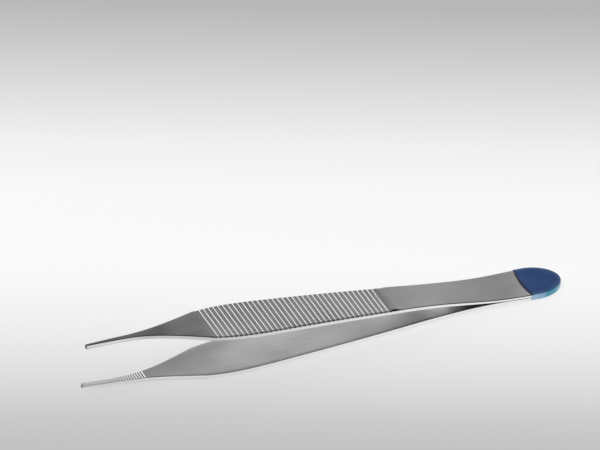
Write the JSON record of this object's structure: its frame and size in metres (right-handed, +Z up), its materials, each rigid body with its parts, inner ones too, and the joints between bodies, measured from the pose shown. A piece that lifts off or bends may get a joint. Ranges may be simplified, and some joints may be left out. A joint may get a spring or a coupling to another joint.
{
  "type": "thumb forceps",
  "caption": "Fine-tipped spring thumb forceps: two slender steel arms with a ridged finger grip and serrated jaws, joined at a coated tail.",
  "frame": {"origin": "on the surface the forceps lies on, under the middle of its box", "axes": "+X from the tips to the tail, +Y across the arms, +Z up, with the lower arm down as it comes to rest"},
  "size_m": [0.1202, 0.013, 0.0137],
  "materials": {
    "arm_steel": "satin stainless steel, brighter along the edges and the ridges",
    "tail_coat": "smooth navy blue coating, semi-gloss"
  },
  "bodies": {
    "root": {"upper_arm": "arm_steel", "lower_arm": "arm_steel", "tail_coat": "tail_coat"}
  },
  "joints": []
}
